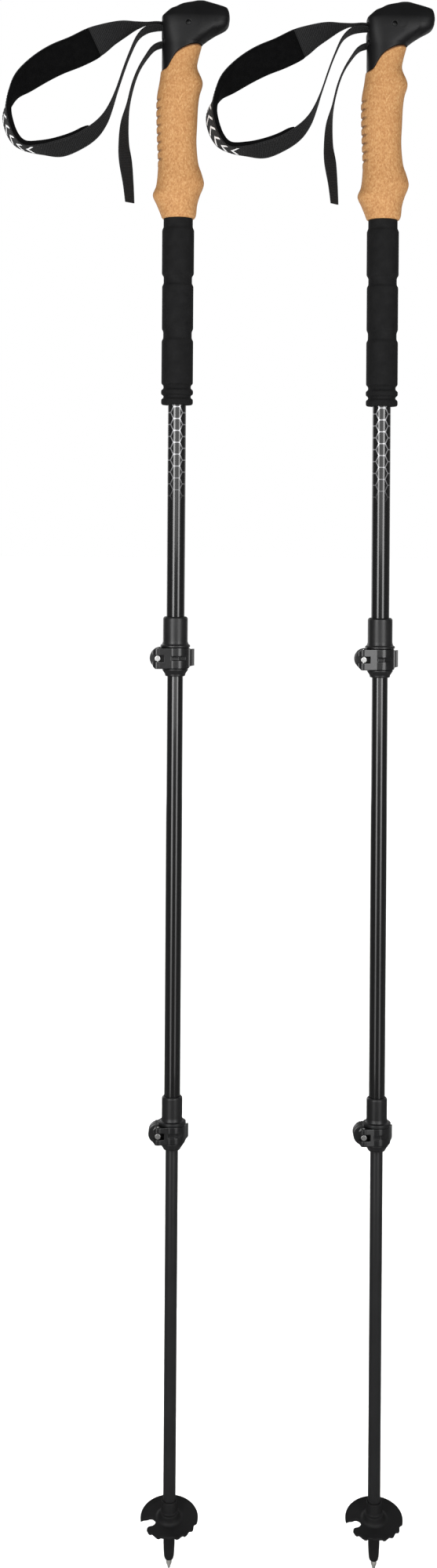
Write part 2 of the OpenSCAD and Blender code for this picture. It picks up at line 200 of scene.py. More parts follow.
def carve(mesh, cutters, voxel=None, relax=0):
    """Cuts the cutter meshes out of a mesh, then rounds every edge by a fine remesh."""
    body = add_object("carving", mesh)
    tools = []
    for cutter in cutters:
        tool = add_object("cutter", cutter)
        cut = body.modifiers.new("cut", "BOOLEAN")
        cut.operation = "DIFFERENCE"
        cut.object = tool
        cut.solver = "EXACT"
        tools.append(tool)
    soften(body, voxel, relax)
    bpy.context.view_layer.update()
    result = apply_modifiers(body)
    bpy.data.objects.remove(body)
    for tool in tools:
        bpy.data.objects.remove(tool)
    return result


def soften(obj, voxel, relax):
    """Adds a fine remesh and a light smoothing, which round the edges as a moulding has them."""
    if voxel:
        remesh = obj.modifiers.new("fine", "REMESH")
        remesh.mode = "VOXEL"
        remesh.voxel_size = voxel * MM
        remesh.use_smooth_shade = True
    if relax:
        smooth = obj.modifiers.new("round", "SMOOTH")
        smooth.factor = 0.5
        smooth.iterations = relax


# ---------------------------------------------------------------- node materials

class Nodes:
    """A new material with short calls for its nodes."""

    def __init__(self, name):
        self.material = bpy.data.materials.new(name)
        self.material.use_nodes = True
        self.tree = self.material.node_tree
        self.shader = self.tree.nodes["Principled BSDF"]
        self.coords = self.tree.nodes.new("ShaderNodeTexCoord").outputs["Object"]

    def set(self, **values):
        """Sets the shader's own sockets, named with _ for a space."""
        for key, value in values.items():
            self.shader.inputs[key.replace("_", " ")].default_value = value

    def put(self, target, source):
        """Links a socket to the target, or sets the target to a plain value."""
        if isinstance(source, bpy.types.NodeSocket):
            self.tree.links.new(source, target)
        elif source is not None:
            target.default_value = source

    def math(self, operation, a, b=None, c=None):
        node = self.tree.nodes.new("ShaderNodeMath")
        node.operation = operation
        for socket, value in zip(node.inputs, (a, b, c)):
            self.put(socket, value)
        return node.outputs[0]

    def noise(self, scale, detail, rough=0.5, stretch=None):
        node = self.tree.nodes.new("ShaderNodeTexNoise")
        node.inputs["Scale"].default_value = scale
        node.inputs["Detail"].default_value = detail
        node.inputs["Roughness"].default_value = rough
        self.tree.links.new(self.stretched(stretch), node.inputs["Vector"])
        return node.outputs["Fac"]

    def cells(self, scale, feature="F1", output="Distance", stretch=None):
        node = self.tree.nodes.new("ShaderNodeTexVoronoi")
        node.feature = feature
        node.inputs["Scale"].default_value = scale
        self.tree.links.new(self.stretched(stretch), node.inputs["Vector"])
        return node.outputs[output]

    def stretched(self, scale):
        """The object's coordinates, scaled along each axis."""
        if scale is None:
            return self.coords
        node = self.tree.nodes.new("ShaderNodeMapping")
        node.inputs["Scale"].default_value = scale
        self.tree.links.new(self.coords, node.inputs["Vector"])
        return node.outputs["Vector"]

    def ramp(self, factor, stops):
        node = self.tree.nodes.new("ShaderNodeValToRGB")
        while len(node.color_ramp.elements) < len(stops):
            node.color_ramp.elements.new(0.5)
        for element, (position, colour) in zip(node.color_ramp.elements, stops):
            element.position = position
            element.color = (*colour, 1.0)
        self.tree.links.new(factor, node.inputs["Fac"])
        return node.outputs["Color"]

    def span(self, factor, low, high):
        """The factor, from 0 to 1, turned into a value from low to high."""
        return self.math("MULTIPLY_ADD", factor, high - low, low)

    def mix(self, factor, a, b):
        """Mixes two colours; each is a socket or three plain numbers."""
        node = self.tree.nodes.new("ShaderNodeMix")
        node.data_type = "RGBA"
        self.put(node.inputs["Factor"], factor)
        colour_a, colour_b = [socket for socket in node.inputs if socket.type == "RGBA"]
        for socket, colour in ((colour_a, a), (colour_b, b)):
            self.put(socket, colour if isinstance(colour, bpy.types.NodeSocket) else (*colour, 1.0))
        return next(socket for socket in node.outputs if socket.type == "RGBA")

    def split(self, source):
        node = self.tree.nodes.new("ShaderNodeSeparateXYZ")
        self.tree.links.new(source, node.inputs[0])
        return node.outputs["X"], node.outputs["Y"], node.outputs["Z"]

    def uv(self):
        node = self.tree.nodes.new("ShaderNodeUVMap")
        node.uv_map = "along"
        return self.split(node.outputs["UV"])

    def colour(self, source):
        self.put(self.shader.inputs["Base Color"], source)

    def roughness(self, source):
        self.put(self.shader.inputs["Roughness"], source)

    def bump(self, height, distance_mm):
        """Adds a bump on top of the ones that are there."""
        node = self.tree.nodes.new("ShaderNodeBump")
        node.inputs["Strength"].default_value = 1
        node.inputs["Distance"].default_value = distance_mm * MM
        before = self.shader.inputs["Normal"]
        if before.is_linked:
            self.tree.links.new(before.links[0].from_socket, node.inputs["Normal"])
        self.tree.links.new(height, node.inputs["Height"])
        self.tree.links.new(node.outputs["Normal"], before)


def moulded_plastic(name, tone, rough_low, rough_high, grain_mm, grain_depth, gloss=0.5):
    """Moulded plastic: a fine spark-eroded grain and slightly uneven gloss."""
    n = Nodes(name)
    broad = n.noise(60, 4)
    fine = n.noise(1000 / grain_mm, 2)
    n.colour(n.ramp(broad, [(0.3, [c * 0.82 for c in tone]), (0.75, [c * 1.18 for c in tone])]))
    n.roughness(n.span(broad, rough_low, rough_high))
    n.bump(fine, grain_depth)
    n.set(Specular_IOR_Level=gloss)
    return n.material


def cork_material():
    """Pressed cork: mottled granules in tans and light flecks, with painted shade in its cut grooves and
    along its top edge.
    """
    n = Nodes("cork")
    upright = (1, 1, 0.7)
    tint, _, _ = n.split(n.cells(800, output="Color", stretch=upright))
    mottle = n.noise(760, 2, 0.6, stretch=upright)
    broad = n.noise(60, 2)
    mottled = n.ramp(mottle, [
        (0.30, (0.224, 0.095, 0.029)),
        (0.45, (0.297, 0.141, 0.047)),
        (0.56, (0.342, 0.177, 0.065)),
        (0.70, (0.435, 0.266, 0.119)),
    ])
    granules = n.ramp(tint, [
        (0.0, (0.25, 0.106, 0.033)),
        (0.6, (0.33, 0.166, 0.059)),
        (1.0, (0.413, 0.238, 0.1)),
    ])
    base = n.mix(n.span(broad, 0.25, 0.6), mottled, granules)
    pores = n.ramp(n.noise(1100, 2), [(0.27, (1, 1, 1)), (0.35, (0, 0, 0))])
    base = n.mix(n.math("MULTIPLY", pores, 0.4), base, (0.14, 0.055, 0.017))
    # Painted shade: a point attribute darkens the cork in its grooves and along its top edge.
    painted_shade = n.tree.nodes.new("ShaderNodeAttribute")
    painted_shade.attribute_name = "painted_shade"
    n.colour(n.mix(n.math("MULTIPLY", painted_shade.outputs["Fac"], 0.7), base, (0.06, 0.02, 0.006)))
    n.roughness(n.span(mottle, 0.6, 0.85))
    n.set(Specular_IOR_Level=0.3)
    n.bump(mottle, 0.1)
    n.bump(n.cells(800, feature="DISTANCE_TO_EDGE", stretch=upright), 0.05)
    return n.material


def foam_material():
    """Closed-cell foam: fine pores, almost no shine."""
    n = Nodes("foam")
    cells = n.cells(2600)
    broad = n.noise(140, 4)
    n.colour(n.ramp(broad, [(0.3, (0.0035, 0.0035, 0.0037)), (0.8, (0.0064, 0.0064, 0.0066))]))
    n.roughness(n.span(cells, 0.68, 0.9))
    n.bump(cells, 0.05)
    n.set(Sheen_Weight=0.01, Sheen_Roughness=0.5, Specular_IOR_Level=0.12)
    return n.material


def honeycomb(n, tube_r, column, pitch):
    """Distance to the nearest edge of a hexagon grid round a tube: 0 at the edge, 1 at the middle.

    column is the way round the tube from one column of cells to the next, and pitch is a cell's height."""
    squash = pitch * math.sqrt(3) / 2 / column

    def from_middle(value, shift, period):
        """Distance from the middle of the period that the shifted value falls in."""
        inside = n.math("FLOORED_MODULO", n.math("ADD", value, shift), period)
        return n.math("ABSOLUTE", n.math("SUBTRACT", inside, period / 2))

    def cell(shift_u, shift_v):
        x, y, z = n.split(n.coords)
        around = n.math("MULTIPLY_ADD", n.math("ARCTAN2", y, x), tube_r, column / 2)
        u = from_middle(around, shift_u, 2 * column)
        v = from_middle(z, shift_v, pitch)
        slant = n.math("MULTIPLY_ADD", u, squash * math.sqrt(3) / 2, n.math("MULTIPLY", v, 0.5))
        return n.math("DIVIDE", n.math("MAXIMUM", v, slant), pitch / 2)

    nearest = n.math("MINIMUM", cell(0.0, 0.0), cell(column, pitch / 2))
    return n.math("SUBTRACT", 1.0, nearest)


def gloss_tube_material(print_top=None):
    """Black lacquer. The upper tube also has a thin silver honeycomb outline that fades downwards."""
    n = Nodes("gloss_tube_printed" if print_top else "gloss_tube")
    dust = n.noise(900, 2)
    drift = n.noise(8, 3, stretch=(1, 1, 0.15))
    base = n.ramp(drift, [(0.3, (0.0014, 0.0014, 0.0015)), (0.8, (0.003, 0.003, 0.0032))])
    gloss = n.span(dust, 0.13, 0.24)
    if print_top:
        tube_r = radius("upper_shaft") * MM
        columns = 6
        cell_height = 10.36 * MM
        print_length = 84 * MM
        edge = honeycomb(n, tube_r, 2 * math.pi * tube_r / columns, cell_height)
        line = n.ramp(edge, [(0.06, (1, 1, 1)), (0.115, (0, 0, 0))])
        _, _, z = n.split(n.coords)
        depth = n.math("DIVIDE", n.math("SUBTRACT", print_top * MM, z), print_length)
        fade = n.math("SUBTRACT", 1.0, n.math("MULTIPLY", depth, depth))
        fade.node.use_clamp = True
        ink = n.math("MULTIPLY", line, n.math("MULTIPLY", fade, 0.9))
        base = n.mix(ink, base, (0.36, 0.36, 0.37))
        n.put(n.shader.inputs["Metallic"], n.math("MULTIPLY", ink, 0.85))
        gloss = n.math("MULTIPLY_ADD", ink, 0.2, gloss)
    n.colour(base)
    n.roughness(gloss)
    n.set(Coat_Weight=0.5, Coat_Roughness=0.06, Specular_IOR_Level=0.5)
    n.bump(n.noise(120, 2), 0.01)
    return n.material


def matte_tube_material():
    """Black anodised tube with a fine drawn grain along it."""
    n = Nodes("matte_tube")
    grain = n.noise(1500, 3, stretch=(1, 1, 0.02))
    broad = n.noise(25, 4)
    n.colour(n.ramp(broad, [(0.3, (0.008, 0.008, 0.0083)), (0.8, (0.013, 0.013, 0.0134))]))
    n.roughness(n.span(grain, 0.24, 0.4))
    n.bump(grain, 0.012)
    n.set(Specular_IOR_Level=0.4)
    return n.material


def steel_material(name, tone, rough_low, rough_high, metallic=1.0):
    """Turned metal with fine rings in its gloss."""
    n = Nodes(name)
    turned = n.noise(2200, 2, stretch=(1, 1, 4))
    n.colour(n.ramp(turned, [(0.3, [c * 0.8 for c in tone]), (0.7, tone)]))
    n.roughness(n.span(turned, rough_low, rough_high))
    n.bump(turned, 0.015)
    n.set(Metallic=metallic)
    return n.material


def webbing_material():
    """Black woven tape: cross ribs, a fine lengthwise twist, and painted shade between the ribs with painted
    light on their tops.
    """
    n = Nodes("webbing")
    u, v, _ = n.uv()
    rib_shade = n.math("ABSOLUTE", n.math("SINE", n.math("MULTIPLY", u, math.pi / (RIB_PITCH * MM))))
    yarn_pitch = 0.55 * MM
    yarn = n.math("SINE", n.math("MULTIPLY", v, 2 * math.pi / yarn_pitch))
    fuzz = n.noise(1800, 3)
    # Painted shade and light: the tape's colour is darkest between the cross ribs and palest on their tops.
    tone = n.ramp(rib_shade, [(0.2, (0.0009, 0.0009, 0.001)), (0.95, (0.0115, 0.0115, 0.012))])
    n.colour(n.mix(n.span(fuzz, 0, 0.3), tone, (0.003, 0.003, 0.0032)))
    n.roughness(n.span(fuzz, 0.6, 0.85))
    n.bump(n.span(yarn, 0.4, 0.6), 0.12)
    n.bump(fuzz, 0.05)
    n.set(Sheen_Weight=0.02, Sheen_Roughness=0.4, Specular_IOR_Level=0.18)
    return n.material


def fleece_material():
    """Black fleece lining: a clumped, dull pile."""
    n = Nodes("fleece")
    pile = n.noise(1400, 5, 0.7)
    clumps = n.noise(220, 3)
    n.colour(n.ramp(clumps, [(0.3, (0.0009, 0.0009, 0.001)), (0.8, (0.002, 0.002, 0.0021))]))
    n.roughness(n.span(pile, 0.85, 1.0))
    n.bump(pile, 0.22)
    n.set(Sheen_Weight=0.004, Sheen_Roughness=0.6, Specular_IOR_Level=0.05)
    return n.material


def thread_material(name, tone):
    """Thread or print on the tape, slightly uneven in tone."""
    n = Nodes(name)
    twist = n.noise(3000, 2)
    n.colour(n.ramp(twist, [(0.3, [c * 0.7 for c in tone]), (0.7, tone)]))
    n.roughness(n.span(twist, 0.5, 0.75))
    n.bump(twist, 0.05)
    return n.material


RIB_PITCH = 1.5   # from one cross rib of the tape to the next

HEAD = moulded_plastic("head_plastic", (0.0038, 0.0038, 0.0041), 0.4, 0.54, 0.5, 0.03, 0.2)
CLAMP = moulded_plastic("clamp_plastic", (0.007, 0.007, 0.0073), 0.3, 0.42, 0.35, 0.03, 0.4)
PIN = moulded_plastic("pin_plastic", (0.022, 0.022, 0.023), 0.28, 0.4, 0.35, 0.01)
LEVER = moulded_plastic("lever_plastic", (0.006, 0.006, 0.0063), 0.17, 0.27, 0.35, 0.012, 0.5)
BASKET = moulded_plastic("basket_plastic", (0.0078, 0.0078, 0.008), 0.45, 0.62, 0.4, 0.02, 0.22)
FERRULE = moulded_plastic("ferrule_plastic", (0.007, 0.007, 0.0072), 0.34, 0.46, 0.4, 0.02, 0.35)
GUIDE = moulded_plastic("guide_plastic", (0.62, 0.6, 0.54), 0.35, 0.5, 0.4, 0.01)
CORK = cork_material()
FOAM = foam_material()
PRINTED_TUBE = gloss_tube_material(print_top=span_z("foam_grip")[0])
GLOSS_TUBE = gloss_tube_material()
MATTE_TUBE = matte_tube_material()
STEEL = steel_material("pin_steel", (0.78, 0.78, 0.77), 0.16, 0.32)
CARBIDE = steel_material("carbide", (0.36, 0.355, 0.33), 0.3, 0.5, 0.5)
WEBBING = webbing_material()
FLEECE = fleece_material()
STITCH = thread_material("stitching", (0.008, 0.008, 0.0083))
WHITE_PRINT = thread_material("white_print", (0.78, 0.78, 0.78))


# ---------------------------------------------------------------- tubes, tip and foam

def shaft(node, material, body, wall=0.9):
    """Open tube with eased ends."""
    low, high = span_z(node)
    outer = radius(node)
    outline = [(outer - wall, low), (outer, low), (outer, high), (outer - wall, high)]
    place(f"{node}_tube", lathe(node, rounded(outline, 0.25)), material, body, [node])


def foam_grip():
    """Moulded foam: one turned outline of swells and grooves, kept inside the CAD node's height."""
    low, high = span_z("foam_grip")
    height = high - low
    bore = radius("upper_shaft") + SLIP
    swells = [
        (bore, 0), (12.9, 0), (13.9, 1.2), (13.9, 4.8), (12, 6.2), (12, 8), (14, 9.4), (14, 12.8), (12, 14.2),
        (12, 16.8), (13.8, 18.6), (13.8, 55.8), (12.5, 58.2), (12.5, 64), (13.7, 66.4), (13.7, 103.8),
        (12.4, 106), (12.4, 112), (14, 114.4), (14, 152.8), (12.8, 155.2), (12.8, height), (bore, height)
    ]
    outline = rounded([(r, low + z) for r, z in swells], 1.1, steps=6)
    place("foam", lathe("foam", outline, smooth_angle=80), FOAM, "handle", ["foam_grip"])


def tip():
    """Carbide point with its stepped collar."""
    low, high = span_z("carbide_tip")
    outline = [
        (0, low), (0.85, low), (1, 0.4), (1.45, 2.2), (2.15, 3.9), (2.5, 5), (2.5, 6.5), (2.2, 7.3),
        (1.9, 7.4), (1.9, high), (0, high)
    ]
    mesh = lathe("tip", rounded(outline, 0.2), 48)
    place("point", mesh, CARBIDE, "lower", ["carbide_tip"])


def ferrule():
    """Tapered plastic end: bored for the point below and for the lower tube above."""
    low, high = span_z("tip_ferrule")
    tube = radius("lower_shaft")
    outline = [
        (0, 19), (1.92, 19), (1.92, low), (3.1, low), (3.9, 8.7), (4.4, 11), (4.7, 15), (5, 22), (5, 37),
        (tube, 39), (tube, 54), (tube - 0.92, 54), (tube - 0.92, high - 2), (tube - 1.7, high), (0, high)
    ]
    mesh = lathe("ferrule", rounded(outline, 0.7, 5), smooth_angle=50)
    place("ferrule", mesh, FERRULE, "lower", ["tip_ferrule"])


# ---------------------------------------------------------------- grip

# Height, reach to the back (-X), reach to the front (+X), half width in Y
CORK_RINGS = smooth_row([
    (1180, 14.3, 14.5, 14.3), (1184, 15.7, 15.7, 15.2), (1192, 19, 16.5, 16), (1200, 22.4, 18.7, 17),
    (1207, 20, 21.5, 17), (1212, 19, 22.2, 17), (1220, 18.3, 20, 16.3), (1229, 18, 17.1, 15.6),
    (1246, 18.8, 15.5, 15.4), (1262, 19.4, 16, 15.8), (1278, 19.7, 16.7, 16), (1288, 19.2, 18, 16.2),
    (1299, 17.3, 20.6, 16.2), (1311, 15.8, 16, 15.6), (1319, 15.2, 16.5, 15.3), (1334, 15, 20.5, 15.2),
], 6)

# Seam between cork and head, and the palm rest's underside, as x and z
SEAM = smooth_row([
    (-30, 1308), (-14.5, 1309), (-10, 1311), (-7, 1316), (-3, 1322), (2, 1326), (9, 1329.5), (16, 1331.5),
    (21, 1331.8), (24, 1334.7), (32, 1340), (41, 1345.5), (50, 1352),
], 5)

# Height, lowest and highest x, half width in Y
HEAD_RINGS = smooth_row([
    (1300, -15.3, 15.6, 15.3), (1329, -15.3, 19.5, 15.3), (1334.5, -15.3, 23, 15.5),
    (1340, -15.3, 31, 15.8), (1345.5, -15.3, 40.2, 16), (1349, -15.3, 42.9, 16.1),
    (1352.5, -15.4, 43.6, 15.9), (1355, -15.4, 43.9, 15.5),
], 5) + smooth_row([
    (1356.2, -15, 43.8, 15.1), (1359.5, -11.6, 43.4, 13.5), (1362.9, -7.6, 42.2, 11.4),
    (1364.3, -4, 40.6, 10.3), (1366.9, 0.6, 33.4, 8), (1368, 3.6, 30, 6.8), (1369.6, 10.4, 25.4, 4.4),
    (1370.8, 14.6, 22, 2.2), (1371.2, 17.2, 19.2, 0.5),
], 5)

# Share of the scoop's height, and of the head's width left there
SCOOP = smooth_row([(0, 0.46), (0.14, 0.485), (0.32, 0.52), (0.52, 0.74), (0.72, 0.93), (1, 1)], 6)

SEAM_GAP = 0.15        # the cork and the head each stop this far from the seam
GROOVES_LOW = 1225.1   # the cut finger grooves down the cork's back: lowest, highest and pitch
GROOVES_HIGH = 1284.3
GROOVE_PITCH = 7.4
NOSE_START = 17        # x where the head begins to narrow towards its front, and the length that takes
NOSE_RUN = 14


def seam_height(x):
    """Height of the seam, and of the palm rest's underside, at x."""
    return lookup(SEAM, x)[1]


def squircle(a, power):
    """Direction of angle a on a slightly squared circle."""
    c = math.cos(a)
    s = math.sin(a)
    return math.copysign(abs(c) ** power, c), math.copysign(abs(s) ** power, s)


def limit(value):
    """The value kept from 0 to 1."""
    return min(1.0, max(0.0, value))


def grooved(z):
    return GROOVES_LOW < z < GROOVES_HIGH


def groove_depth(c, z):
    """How deep, from 0 to 1, the finger grooves are cut at a height and side. c is -1 at the very back."""
    if not grooved(z):
        return 0.0
    share = ((z - GROOVES_LOW) / GROOVE_PITCH) % 1
    deepest = 0.86
    cut = (share - 0.5) / (deepest - 0.5) if share < deepest else (1 - share) / (1 - deepest)
    return max(0.0, cut) * limit((-c - 0.74) / 0.2)


def cork_point(a, z):
    """Point of the cork's skin, and how deep in a groove it lies."""
    _, back, front, wide = lookup(CORK_RINGS, z)
    c, s = squircle(a, 0.94)
    sunk = groove_depth(c, z)
    swell = 0.25 * limit(-c) * grooved(z)
    reach = front if c > 0 else back + swell - 1.35 * sunk
    return c * reach, s * (wide - 0.6 * sunk), z, sunk


def cork_grip():
    """Cork sleeve: closed over its bore, its top follows the seam with the head.

    A point attribute darkens the cork as painted shade in its grooves and along its top edge."""
    segments = 120
    rings = 270
    # Painted shade along the cork's top edge, where it meets the head.
    seam_shade = 1.2
    angles = [2 * math.pi * k / segments for k in range(segments)]
    bore = radius("upper_shaft") + SLIP
    bottom = span_z("cork_grip")[0]
    tops = []
    for a in angles:
        top = 1320
        for _ in range(8):   # homes in on where the skin meets the seam
            top = seam_height(cork_point(a, top)[0]) - SEAM_GAP
        tops.append(top)
    verts = [(bore * math.cos(a), bore * math.sin(a), bottom) for a in angles]
    painted_shade_values = [0.0] * segments
    for i in range(rings + 1):
        t = i / rings
        rounding = max(0, 1 - t * 90) ** 2 + max(0, 1 - (1 - t) * 90) ** 2   # at both ends
        inset = 1 - 0.035 * rounding
        for a, top in zip(angles, tops):
            x, y, z, sunk = cork_point(a, bottom + (top - bottom) * t)
            verts.append((x * inset, y * inset, z))
            # Painted shade: the groove depth darkens the cork in its grooves, and the top rings take the
            # seam's painted shade.
            painted_shade_values.append(seam_shade if i > rings - 3 else sunk)
    verts += [(bore * math.cos(a), bore * math.sin(a), top) for a, top in zip(angles, tops)]
    painted_shade_values += [0.0] * segments
    mesh = make("cork", verts, grid_faces(rings + 3, segments, closed=True), 60)
    mesh.attributes.new("painted_shade", "FLOAT", "POINT").data.foreach_set("value", painted_shade_values)
    place("cork", mesh, CORK, "handle", ["cork_grip"])


def box_mesh(low, high):
    """Box between two corners."""
    verts = [(x, y, z) for x in (low[0], high[0]) for y in (low[1], high[1]) for z in (low[2], high[2])]
    faces = [(0, 1, 3, 2), (4, 6, 7, 5), (0, 4, 5, 1), (2, 3, 7, 6), (0, 2, 6, 4), (1, 5, 7, 3)]
    return make("box", verts, faces)


def rod_mesh(x, z, r, y0, y1, segments=48):
    """Round rod along Y."""
    verts = []
    for y in (y0, y1):
        for k in range(segments):
            a = 2 * math.pi * k / segments
            verts.append((x + r * math.cos(a), y, z + r * math.sin(a)))
    faces = grid_faces(2, segments)
    faces += [tuple(range(segments)), tuple(range(2 * segments - 1, segments - 1, -1))]
    return make("rod", verts, faces)


def head_point(a, z, foot=None):
    """Point of the head's skin. Its plan is squarer the longer it is, and slimmer at the nose.

    Where the foot's height is given, a scoop runs along each side of the nose above it."""
    _, left, right, wide = lookup(HEAD_RINGS, z)
    long = (right - left) / 2
    c, s = squircle(a, 2 / (2 + 2.2 * limit(long / max(wide, 1) - 1.1)))
    x = (left + right) / 2 + long * c
    nose = limit((x - NOSE_START) / NOSE_RUN)
    y = wide * s * (1 - 0.12 * nose)
    if foot is not None:
        scoop_height = 1 + 18 * nose
        y *= 1 - nose * (1 - lookup(SCOOP, (z - foot) / scoop_height)[1])
    return x, y, z


def grip_head():
    """Palm rest: a skin from the seam up to the crown, with the strap's mouth and the pin's holes cut in.

    A first ring just inside the foot gives the skin's lower edge a blunt end."""
    segments = 120
    rings = 72
    crown = HEAD_RINGS[-1][0]
    angles = [2 * math.pi * k / segments for k in range(segments)]
    verts = []
    feet = []
    for a in angles:
        foot = 1330
        for _ in range(10):   # homes in on where the skin meets the seam
            foot = 0.5 * foot + 0.5 * (seam_height(head_point(a, foot)[0]) + SEAM_GAP)
        feet.append(foot)
    for i in range(-1, rings + 1):
        rise = 1 - (1 - max(i, 0) / rings) ** 1.35   # rings lie closer towards the crown
        inset = 0.92 if i < 0 else 1
        for a, foot in zip(angles, feet):
            x, y, z = head_point(a, foot + (crown - foot) * rise, foot)
            verts.append((inset * x, inset * y, z))
    top_ring = (rings + 1) * segments
    top_middle = len(verts)
    verts.append((17, 0, crown + 0.1))
    foot_middle = len(verts)
    verts.append((0, 0, 1327))
    faces = grid_faces(rings + 2, segments)
    faces += [(top_ring + k, top_ring + (k + 1) % segments, top_middle) for k in range(segments)]
    faces += [((k + 1) % segments, k, foot_middle) for k in range(segments)]
    mesh = make("head", verts, faces)
    pin = middle("left_strap_pin")
    pin_x, pin_z = pin.x / MM, pin.z / MM
    mouth_half = 8.3
    mouth_top = 1351.6
    pin_hole_r = 2.1
    cutters = [
        box_mesh((-25, -mouth_half, 1330.6), (-7.5, mouth_half, mouth_top)),
        box_mesh((-8, -mouth_half, 1346), (5.8, mouth_half, mouth_top)),
        rod_mesh(-7.5, 1339.5, 8.9, -mouth_half, mouth_half),
        rod_mesh(pin_x, pin_z, pin_hole_r, -30, -9.5),
        rod_mesh(pin_x, pin_z, pin_hole_r, 9.5, 30),
    ]
    mesh = carve(mesh, cutters, voxel=0.4, relax=5)
    place("head", mesh, HEAD, "handle", ["grip_head"])


# ---------------------------------------------------------------- strap

# From the cross pin round the loop and the wedge to the tail's end: x, z, roll in degrees, width
STRAP_ROUTE = [
    (3, 1350.2, 0, 15), (-4, 1349.6, 6, 15), (-12, 1349, 10, 15), (-20, 1349.5, 10, 15),
    (-28, 1350.5, -3, 15), (-37, 1349, 10, 16), (-48.5, 1346, 32, 20), (-61, 1341, 45, 24),
    (-74.5, 1334, 58, 28), (-90.5, 1326, 57, 28.5), (-107.5, 1319, 54, 28.5), (-122.5, 1310.5, 46, 28),
    (-136.5, 1300, 30, 27.5), (-146, 1290, 5, 27), (-151.8, 1276, -10, 27), (-151, 1263, -14, 27),
    (-144.8, 1248.8, -10, 27), (-134.5, 1241.2, -2, 27), (-119, 1239.8, -10, 27),
    (-103.5, 1241, -23, 26.5), (-87.8, 1247, -23, 25), (-75, 1255.4, -26, 21), (-66, 1265.5, -19, 18),
    (-60, 1277, -10, 15.5), (-54.5, 1292, -1, 15), (-48.5, 1310, 0, 15), (-43.5, 1323.5, 0, 15),
    (-37, 1337.5, -3, 15), (-29.5, 1344.6, -10, 15), (-21, 1347, -11, 15), (-13, 1346.7, -4, 15),
    (-6.5, 1346.2, 0, 15), (-1.7, 1343, 0, 15), (-0.5, 1339, 0, 15), (-2.5, 1334.7, 0, 15),
    (-7.5, 1332.6, 2, 15), (-15, 1332.2, 9, 15), (-22.5, 1329, 7, 15), (-29, 1321, 3, 15),
    (-35.5, 1310, 1, 15), (-40.5, 1296.5, 3, 15), (-44.5, 1279, 6, 15), (-47.5, 1262, 24, 15),
    (-48, 1245, 35, 15), (-46.5, 1230, 47, 15), (-44, 1210.5, 36, 15), (-42.5, 1194, 29, 15),
]
PAD_FIRST = 8    # the pad lines the loop between these two stations
PAD_LAST = 21
TAPE_T = 1.4     # thickness of the tape and of the pad, and the gap between them
PAD_T = 4
PAD_GAP = 0.1
RIB_DEPTH = 0.2


class Route:
    """The strap's middle line between two stations, with its face and edge directions at even steps."""

    per_station = 24

    def __init__(self, first, last, step):
        fine = smooth_row(STRAP_ROUTE, self.per_station)
        fine = fine[first * self.per_station:last * self.per_station + 1]
        lengths = [0.0]
        for p, q in zip(fine, fine[1:]):
            lengths.append(lengths[-1] + math.hypot(q[0] - p[0], q[1] - p[1]))
        self.length = lengths[-1]
        count = max(2, round(self.length / step))
        rows = [[s, *row] for s, row in zip(lengths, fine)]
        self.rows = []
        index = 0
        for i in range(count + 1):
            s = self.length * i / count
            while index < len(rows) - 2 and rows[index + 1][0] < s:
                index += 1
            self.rows.append(lookup(rows[index:index + 2], s))

    def frames(self):
        """Yields distance along, middle, unit edge direction, unit outer face direction and width."""
        last = len(self.rows) - 1
        for i, (s, x, z, roll, width) in enumerate(self.rows):
            before = self.rows[max(i - 1, 0)]
            after = self.rows[min(i + 1, last)]
            run = Vector((after[1] - before[1], after[2] - before[2])).normalized()
            c = math.cos(math.radians(roll))
            d = math.sin(math.radians(roll))
            edge = Vector((d * run[1], -c, -d * run[0]))
            face = Vector((c * run[1], d, -c * run[0]))
            yield s, Vector((x, 0, z)), edge, face, width


def ribbon(name, route, section):
    """Sweeps a section along the route. UVs are metres along and across.

    section(s, share, width) lists the outline's (across, lift) at distance s, a share of the whole length."""
    verts = []
    uvs = []
    rings = 0
    for s, mid, edge, face, width in route.frames():
        for across, lift in section(s, s / route.length, width):
            verts.append(mid + edge * across + face * lift)
            uvs.append((s * MM, across * MM))
        rings += 1
    points = len(verts) // rings
    faces = grid_faces(rings, points)
    faces += [tuple(range(points)), tuple(range(len(verts) - 1, len(verts) - points - 1, -1))]
    return make(name, verts, faces, 50, uvs)


def tape_section(s, share, width):
    """Woven tape: rib tops on both faces, thinner rounded selvedges."""
    rib = RIB_DEPTH * abs(math.sin(math.pi * s / RIB_PITCH))
    half = width / 2
    top = TAPE_T / 2 - RIB_DEPTH + rib
    row = [(-half, 0.0), (-half + 0.25, top * 0.62), (-half + 0.9, top * 0.86), (-half + 1.7, top)]
    row += [(-half * 0.5, top), (0, top)]
    right = [(-x, y) for x, y in reversed(row[:-1])]
    upper = row + right
    lower = [(x, -y) for x, y in reversed(upper[1:-1])]
    return upper + lower


def strap():
    """The whole tape, from the cross pin to the tail's end."""
    route = Route(0, len(STRAP_ROUTE) - 1, RIB_PITCH / 5)
    place("strap", ribbon("strap", route, tape_section), WEBBING, "handle", ["strap_webbing"])


def pad_section(s, share, width):
    """Crowned fleece pad with pinched, sewn edges. It rounds off over a 22nd of its length at each end."""
    end = min(1.0, min(share, 1 - share) * 22)
    thickness = PAD_T * math.sqrt(max(end * (2 - end), 0.05))
    half = width / 2 - 0.2
    outer = -(TAPE_T / 2 + PAD_GAP)
    shape = [(-1, 0.42), (-0.97, 0.7), (-0.9, 0.88), (-0.76, 0.98), (-0.4, 1.02), (0, 1.03)]
    shape += [(-x, y) for x, y in reversed(shape[:-1])]
    inner = [(x * half, outer - thickness * y) for x, y in shape]
    back = [(x * half, outer) for x, _ in reversed(shape[1:-1])]
    return inner + back


